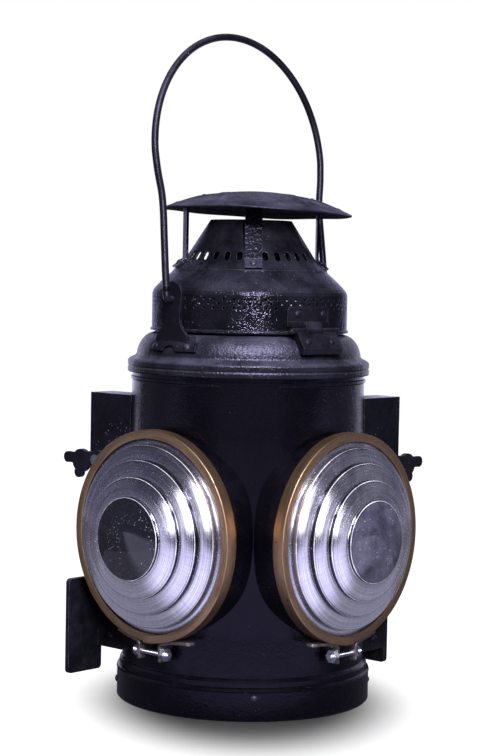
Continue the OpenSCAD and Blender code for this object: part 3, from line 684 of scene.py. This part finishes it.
def strap_piece(name, line, thick, width, axes, depth):
    """A flat strap: a line in the lens's plane is offset by half the thickness to both sides, along its
    normal, and the outline is carried across the width with slightly rounded edges."""
    origin, ex, ey, ez = axes
    way = np.gradient(line, axis=0)
    way /= np.linalg.norm(way, axis=1)[:, None]
    out = np.stack([way[:, 1], -way[:, 0]], 1)
    ring = rounded([[-0.5, 0], [-0.5, 0.5], [0.5, 0.5], [0.5, -0.5], [-0.5, -0.5], [-0.5, 0]], 0.12, 3)[:-1]
    across, deep = ring[:, 0] * thick, ring[:, 1] * width
    # each end has one more, smaller section a little further out, which rounds it
    nose, shrink = 0.0004, 0.55
    idx = np.concatenate([[0], np.arange(len(line)), [-1]])
    grow = np.concatenate([[shrink], np.ones(len(line)), [shrink]])
    base = line[idx]
    base[0] -= way[0] * nose
    base[-1] += way[-1] * nose
    flat = base[:, None] + out[idx][:, None] * across[None, :, None] * grow[:, None, None]
    d = depth + deep[None, :] * grow[:, None]
    pts = origin + flat[..., :1] * ex + flat[..., 1:] * ey + d[..., None] * ez
    mid = pts.mean(1, keepdims=True)
    v = np.linspace(0, 2 * (thick + width), pts.shape[1] + 1)
    return capped_strip(name, pts, mid[:1], mid[-1:], along(base), v)


class LAMP_OT_clamp_lugs(bpy.types.Operator):
    """The bent straps under each bezel: a tongue along the bezel, a round bend, and a drop to the bolt"""
    bl_idname = "lamp.clamp_lugs"
    bl_label = "Clamp lugs"

    def execute(self, context):
        r = sizes().bezel_radius + 0.0011
        depth = sizes().bezel_front - 0.0046
        for side, word in SIDES:
            straps = []
            for m, reach, a in ((1, 0.009, math.radians(17)), (-1, 0.016, math.radians(4))):
                t = np.radians(np.linspace(17, 9.5, 6))
                arc = np.stack([r * np.sin(t), -r * np.cos(t)], 1)
                tip = arc[0] + np.array([math.cos(a), math.sin(a)]) * reach
                line = np.concatenate([[tip], [arc[0] * 0.5 + tip * 0.5], arc,
                                       [[0.0097, -r - 0.0004], [0.0097, -r - 0.006], [0.0101, -r - 0.009],
                                        [0.0095, -r - 0.0116]]])
                line = rounded(line, 0.0022, 4) * [m, 1]
                straps.append(strap_piece(f"lug_{word}_{m}", line, 0.0022, 0.0062, lens_axes(side), depth))
            piece = join_pieces(f"bent_clamp_lugs_{word}", straps)
            finish_piece(piece, worn_steel(), "lamp_body", "worn_steel", f"clamp_lugs_{word}")
        return {"FINISHED"}


def cone_radius(z):
    """Outer radius of the body at a height: it narrows evenly from 86 mm over the base pan to 82 mm."""
    return 0.086 - 0.004 * (z - 0.0225) / 0.2135


class LAMP_OT_saddle(bpy.types.Operator):
    """The smooth front between the hoods: radius = body + swell x cosine bump in height and in angle"""
    bl_idname = "lamp.saddle"
    bl_label = "Front saddle"

    def execute(self, context):
        zc, half, hood = sizes().lens_height, 0.068, 0.0694
        z = np.linspace(zc - half, zc + half, 120)
        lift = np.cos(np.pi / 2 * (z - zc) / half) ** 2 * sizes().saddle_swell

        def radius(a, i):
            side = np.clip((np.abs(a) - math.radians(15)) / math.radians(18), 0, 1)
            low = 1 - 3 * side ** 2 + 2 * side ** 3
            depth = np.clip(1 - ((z[i] - zc) / 0.055) ** 2, 0, 1) ** 0.5
            return cone_radius(z[i]) + 0.0002 + lift[i] * (low * (1 - depth) + depth)

        # where the surface meets the hood, found by halving the angle between inside and outside
        index = np.arange(len(z))[:, None]
        lo, hi = np.zeros((len(z), 1)), np.full((len(z), 1), math.radians(33))
        for _ in range(26):
            mid = (lo + hi) / 2
            off = math.radians(45) - mid
            inside = (radius(mid, index) * np.sin(off)) ** 2 + (z[:, None] - zc) ** 2 < hood ** 2
            hi = np.where(inside, mid, hi)
            lo = np.where(inside, lo, mid)
        a = lo * np.linspace(-1, 1, 81)[None, :]
        r = radius(a, index)
        pts = np.stack([r * np.sin(a), -r * np.cos(a), np.repeat(z[:, None], 81, 1)], -1)
        piece = grid_piece("smooth_front_saddle", pts)
        # the saddle takes the body's enamel, painted lighter as painted light
        finish_piece(piece, enamel("lit_body_enamel", brightened=True), "lamp_body", "black_paint", "front_saddle")
        return {"FINISHED"}


class LAMP_OT_bail(bpy.types.Operator):
    """The bail: a rod bent to a half circle over two slightly waisted legs, its ends turned into the ears"""
    bl_idname = "lamp.bail"
    bl_label = "Bail"

    def execute(self, context):
        reach, spring = 85.5, 101.0
        t = np.linspace(0, math.pi / 2, 60)
        arch = np.stack([reach * np.sin(t), spring + reach * np.cos(t)], 1)
        legs = rounded([[reach, spring], [84.4, 88], [81.3, 72], [81, 60], [81.7, 42], [82.5, 16], [82.5, 0],
                        [71, 0]], 7.0, 8)
        legs = np.concatenate([legs[:-9], rounded([[82.5, 10], [82.5, 0], [77.0, 0]], 5.0, 12),
                               [[74, 0], [71, 0]]])
        half = np.concatenate([arch, legs[1:]]) * MM
        d = along(half)
        n = np.linspace(0, d[-1], 220)
        half = np.stack([np.interp(n, d, half[:, 0]), np.interp(n, d, half[:, 1])], 1)
        left = half[::-1] * [-1, 1]
        path = np.concatenate([left[:-1], half])
        a = math.radians(PIVOT_ANGLE)
        ex = np.array([math.sin(a), -math.cos(a), 0])
        lean = math.radians(6)
        ez = np.array([-math.cos(a) * math.sin(lean), -math.sin(a) * math.sin(lean), math.cos(lean)])
        pts = np.array([0, 0, PIVOT_HEIGHT]) + path[:, :1] * ex + path[:, 1:] * ez
        piece = tube("bent_bail_rod", pts, sizes().rod_radius, 24)
        finish_piece(piece, enamel("bail_enamel", rough=(0.25, 0.45), lumps=0.8, wear=0.15), "bail",
                     "black_paint", "bail_handle")
        return {"FINISHED"}


class LAMP_OT_rain_cap(bpy.types.Operator):
    """The rain cap: part of a sphere, with cosine flutes and two beads pressed in it, and a slightly uneven rim"""
    bl_idname = "lamp.rain_cap"
    bl_label = "Rain cap"

    def execute(self, context):
        rc, rise, sheet = sizes().cap_radius, 0.014, 0.0012
        ball = (rc ** 2 + rise ** 2) / (2 * rise)
        tilt = math.radians(0.9)
        ez = np.array([math.sin(tilt), 0, math.cos(tilt)])
        ex = np.array([math.cos(tilt), 0, -math.sin(tilt)])
        origin = np.array([0.004, 0, 0.344]) + ez * (rise - ball)
        r = np.linspace(0.0002, rc, 90)
        top = np.stack([r, np.sqrt(ball ** 2 - r ** 2)], 1)
        under = np.stack([r[::-1], np.sqrt((ball - sheet) ** 2 - r[::-1] ** 2)], 1)
        profile = np.concatenate([top, under])
        flutes = sizes().cap_flutes

        def relief(t, rr, dd):
            def ring(middle, width):
                return np.exp(-((rr - middle) / width) ** 2)

            fine = 0.0007 * ring(0.043, 0.011) * np.cos(flutes * t)
            bead = 0.0004 * ring(0.026, 0.0012) + 0.0004 * ring(0.058, 0.0014)
            uneven = 0.0004 * (rr / rc) ** 4 * (np.sin(3 * t + 0.6) + 0.6 * np.sin(7 * t + 2))
            bent = 0.0014 * (rr / rc) ** 3 * np.cos(t - math.radians(225))
            return rr, dd + fine + bead + uneven + bent

        piece = recalc(revolve("pressed_rain_cap", profile, (origin, ex, np.array([0, 1.0, 0]), ez), 256,
                               bump=relief), 1e-5)
        # the cap is painted darker and duller where it faces down
        finish_piece(piece, enamel("cap_enamel_dark_below", rough=(0.35, 0.6), lumps=1.6, dust=1.35, dark_below=0.9), "cowl",
                     "black_paint", "rain_cap")
        return {"FINISHED"}


class LAMP_OT_dome(bpy.types.Operator):
    """The dome cover: a beaded foot and an elliptical shoulder, as one surface of revolution"""
    bl_idname = "lamp.dome"
    bl_label = "Dome cover"

    def execute(self, context):
        foot = rounded(np.array([[82.05, 230], [85.2, 230], [85.5, 231], [85.5, 233.2], [84.9, 234.2],
                                 [85.5, 235.2], [85.5, 238], [84.6, 239.2], [82.6, 240.4], [80.2, 241.4]]), 0.8, 5)
        t = np.radians(np.linspace(9, 84, 50))
        neck, shoulder, wide, high, sheet = 66, 240, 13.5, 18, 1.2
        arc = np.stack([neck + wide * np.cos(t), shoulder + high * np.sin(t)], 1)
        inner = np.stack([neck + (wide - sheet) * np.cos(t[::-1]), shoulder + (high - sheet) * np.sin(t[::-1])], 1)
        profile = np.concatenate([foot, arc, [[66.6, 258.6], [66.6, 263.5], [65.4, 263.5]], inner,
                                  [[81.1, 236.6], [81.1, 236], [82.05, 236], [82.05, 230]]]) * MM
        piece = recalc(revolve("spun_dome_cover", profile, upright(), 240))
        finish_piece(piece, enamel("grainy_dome_enamel", rough=(0.26, 0.42), lumps=1.5, ripple=300.0), "lamp_body",
                     "black_paint", "dome_cover")
        return {"FINISHED"}


def rays(tree):
    """Whether a ray comes from the camera, and whether it comes from gloss or through glass."""
    path = add_node(tree, "ShaderNodeLightPath").outputs
    return path["Is Camera Ray"], calc(tree, "ADD", path["Is Glossy Ray"], path["Is Transmission Ray"], clamp=True)


class LAMP_OT_studio(bpy.types.Operator):
    """White floor and backdrop, softboxes and the photograph's camera"""
    bl_idname = "lamp.studio"
    bl_label = "Studio and camera"

    def execute(self, context):
        scene = context.scene
        scene.view_settings.view_transform = "Standard"
        world = bpy.data.worlds.new("studio_world")
        scene.world = world
        world.use_nodes = True
        tree = world.node_tree
        # the backdrop is white to the camera; in gloss and glass it is white behind the lamp, and the
        # studio in front of it and beside it is dark
        to_camera, mirrored = rays(tree)
        behind = part_of(tree, coords(tree, "Generated"), "Y")
        room = spread(tree, behind, 0.77, 0.96, 0.09, 1.2, "SMOOTHSTEP")
        soft = mix_value(tree, mirrored, 0.3, room)
        fill(tree, tree.nodes["Background"], {"Color": mix(tree, mirrored, grey(1), srgb("#b7b4e4")),
                                              "Strength": mix_value(tree, to_camera, soft, 1.0)})

        # a flat floor, as a grid: the backdrop behind it is the white world, from any side
        line = np.linspace(-FLOOR_REACH, FLOOR_REACH, 40)
        x, y = np.meshgrid(line, line, indexing="ij")
        floor = grid_piece("studio_floor", np.stack([x, y, np.zeros_like(x)], -1))
        mat, tree, bsdf = new_material("white_studio_paper")
        to_camera, mirrored = rays(tree)
        where = coords(tree)
        # to the camera: white, with a painted halo of shadow round the base, where the floor's glow is turned down
        flat = add_node(tree, "ShaderNodeMapping", {"Vector": where, "Location": (0, 0.02, 0), "Scale": (1.5, 1, 1)})
        away = add_node(tree, "ShaderNodeVectorMath", {0: flat.outputs["Vector"]}, operation="LENGTH")
        level = spread(tree, away.outputs["Value"], 0.08, 0.21, kind="SMOOTHERSTEP")
        # in gloss: bright in front of the lamp and straight behind it, dark beside it
        ground = add_node(tree, "ShaderNodeMapping", {"Vector": where, "Scale": (1, 1, 0)}).outputs["Vector"]
        angle = add_node(tree, "ShaderNodeVectorMath", {0: ground}, operation="NORMALIZE").outputs["Vector"]
        rear = spread(tree, part_of(tree, angle, "Y"), 0.8, 0.95, 0.11, 1.25, "SMOOTHSTEP")
        close = part_of(tree, where, "Y")
        front = spread(tree, close, -0.1, -0.17, 0.0, 1.5, "SMOOTHSTEP")
        near = spread(tree, close, -0.8, -0.45, kind="SMOOTHSTEP")
        glow = mix_value(tree, mirrored, 0.0, calc(tree, "MULTIPLY_ADD", front, near, rear))
        fill(tree, bsdf, {
            "Base Color": mix(tree, mirrored, grey(0.36), grey(0.05)), "Roughness": 0.9,
            "Specular IOR Level": 0.1, "Emission Color": mix(tree, mirrored, grey(1), srgb("#cfccec")),
            "Emission Strength": calc(tree, "MULTIPLY_ADD", to_camera, level, glow),
        })
        floor.data.materials.append(mat)
        floor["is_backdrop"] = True

        target = np.array([0, 0, 0.2])

        def softbox(name, azimuth, height, distance, size, power, only=(), colour=(0.93, 0.91, 1.0), aim=None):
            """A flat light that looks at the lamp, or along aim, and shines only on the pieces named."""
            a = math.radians(azimuth)
            place = np.array([distance * math.sin(a), -distance * math.cos(a), height])
            light = bpy.data.lights.new(name, "AREA")
            light.shape = "RECTANGLE"
            light.size, light.size_y = size
            light.energy = power
            light.color = colour
            obj = bpy.data.objects.new(name, light)
            scene.collection.objects.link(obj)
            obj.location = place
            obj.rotation_mode = "QUATERNION"
            obj.rotation_quaternion = Vector(target - place if aim is None else aim).to_track_quat("-Z", "Y")
            obj.visible_camera = obj.visible_transmission = False
            if only:
                lit = bpy.data.collections.new(name + "_lights")
                for word in only:
                    lit.objects.link(bpy.data.objects[word])
                obj.light_linking.receiver_collection = lit

        names = [piece.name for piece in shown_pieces()]

        def starting(*words):
            return [name for name in names if name.startswith(words)]

        def but(group, left_out):
            return [name for name in group if name not in left_out]

        softbox("top", 0, 1.9, 0.1, (1.2, 0.8), 5)
        # the front lights are flagged off the body, which stays black between the lenses
        body = starting("body_shell", "smooth_front_saddle", "lens_hood", "base_pan")
        upper = but(names, body)
        dim = starting("vent_drum", "chimney_cone", "hinge", "bail_ear", "roundel_pocket")
        dome = [name for name in upper if "dome" in name]
        straps = [name for name in upper if "strap" in name]
        softbox("key", 3, 1.5, 1.25, (0.8, 0.24), 66, but(upper, dim))
        softbox("half_key", 3, 1.5, 1.25, (0.5, 0.24), 26, dim)
        softbox("strip", 2, 0.84, 1.9, (0.06, 0.7), 62, but(upper, dome + straps))
        softbox("dome_fill", 4, 1.15, 1.25, (1.3, 0.25), 66, dome)
        softbox("strap_fill", 2, 1.2, 1.3, (0.4, 0.3), 60, straps)
        softbox("front", 0, 0.7, 1.6, (2.4, 1.4), 4.9, body)
        blue = (0.8, 0.78, 1.0)
        dull = but(names, starting("stepped_lens", "vent_drum", "chimney_cone", "cap_straps"))
        for side, word in SIDES:
            glass = [f"stepped_lens_{word}", f"brass_bezel_{word}"]
            bolt = [f"clamp_bolt_{word}"]
            softbox(f"glass_{word}", 43 * side, 0.45, 1.5, (0.6, 0.66), 5, glass + bolt)
            softbox(f"side_{word}", 112 * side, 0.3, 1.3, (1.3, 0.9), 0.2, glass, blue)
            # a card that lies on the floor beside the lamp
            softbox(f"card_{word}", 70 * side, 0.004, 0.3, (0.42, 0.42), 0.15, glass[:1], blue, (0, 0, 1))
            softbox(f"rim_{word}", 154 * side, 0.3, 1.3, (0.9, 0.9), 0.6, glass, blue)
            softbox(f"sky_{word}", 60 * side, 1.7, 1.0, (1.6, 1.2), 0.65, glass, blue)
            softbox(f"body_{word}", 96 * side, 0.5, 1.6, (1.7, 1.2), 1.7, body, blue)
            softbox(f"bolt_head_{word}", 10 * side, 0.16, 1.2, (0.3, 0.3), 6, bolt)
            softbox(f"bolt_{word}", 87 * side, 0.35, 1.2, (0.5, 0.4), 3.5, bolt)
            # white walls behind the lamp, seen at a grazing angle down both edges of the paint
            softbox(f"wall_{word}", 152 * side - 3, 0.25, 1.3, (0.95, 0.9), 3.4, dull, blue)

        cam = bpy.data.cameras.new("photo_camera")
        cam.lens = CAMERA_LENS
        cam.sensor_width = 36
        cam.clip_start, cam.clip_end = 0.01, 20
        eye = bpy.data.objects.new("photo_camera", cam)
        scene.collection.objects.link(eye)
        az, pitch, roll = (math.radians(v) for v in (CAMERA_AZIMUTH, CAMERA_PITCH, CAMERA_ROLL))
        right = np.array([math.cos(az), -math.sin(az), 0])
        ahead = np.array([math.sin(az) * math.cos(pitch), math.cos(az) * math.cos(pitch), -math.sin(pitch)])
        up = np.cross(right, ahead)
        r = right * math.cos(roll) + up * math.sin(roll)
        u = -right * math.sin(roll) + up * math.cos(roll)
        turn = Matrix([[r[i], u[i], -ahead[i]] for i in range(3)]).to_4x4()
        eye.matrix_world = Matrix.Translation(CAMERA_PLACE) @ turn
        scene.camera = eye
        return {"FINISHED"}


OPERATORS = (
    LAMP_OT_sheet_metal, LAMP_OT_lenses, LAMP_OT_bezels, LAMP_OT_clamp_lugs, LAMP_OT_saddle, LAMP_OT_bail,
    LAMP_OT_rain_cap, LAMP_OT_dome, LAMP_OT_studio,
)


class LAMP_PT_panel(bpy.types.Panel):
    """Sizes and colours of the lamp, and a button for each piece"""
    bl_idname = "LAMP_PT_panel"
    bl_label = "Classification lamp"
    bl_space_type = "VIEW_3D"
    bl_region_type = "UI"
    bl_category = "Lamp"

    def draw(self, context):
        col = self.layout.column()
        for group in (context.scene.lamp_sizes, context.scene.lamp_colours):
            for prop in group.bl_rna.properties:
                if prop.identifier not in ("rna_type", "name"):
                    col.prop(group, prop.identifier)
        for op in OPERATORS:
            col.operator(op.bl_idname)


CLASSES = (LampSizes, LampColours, *OPERATORS, LAMP_PT_panel)


def register():
    for cls in CLASSES:
        bpy.utils.register_class(cls)
    bpy.types.Scene.lamp_sizes = PointerProperty(type=LampSizes)
    bpy.types.Scene.lamp_colours = PointerProperty(type=LampColours)


def unregister():
    del bpy.types.Scene.lamp_colours
    del bpy.types.Scene.lamp_sizes
    for cls in reversed(CLASSES):
        bpy.utils.unregister_class(cls)


def main():
    """Registers the classes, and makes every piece."""
    register()
    bpy.ops.lamp.sheet_metal()
    bpy.ops.lamp.lenses()
    bpy.ops.lamp.bezels()
    bpy.ops.lamp.clamp_lugs()
    bpy.ops.lamp.saddle()
    bpy.ops.lamp.bail()
    bpy.ops.lamp.rain_cap()
    bpy.ops.lamp.dome()
    bpy.ops.lamp.studio()


if __name__ == "__main__":
    main()
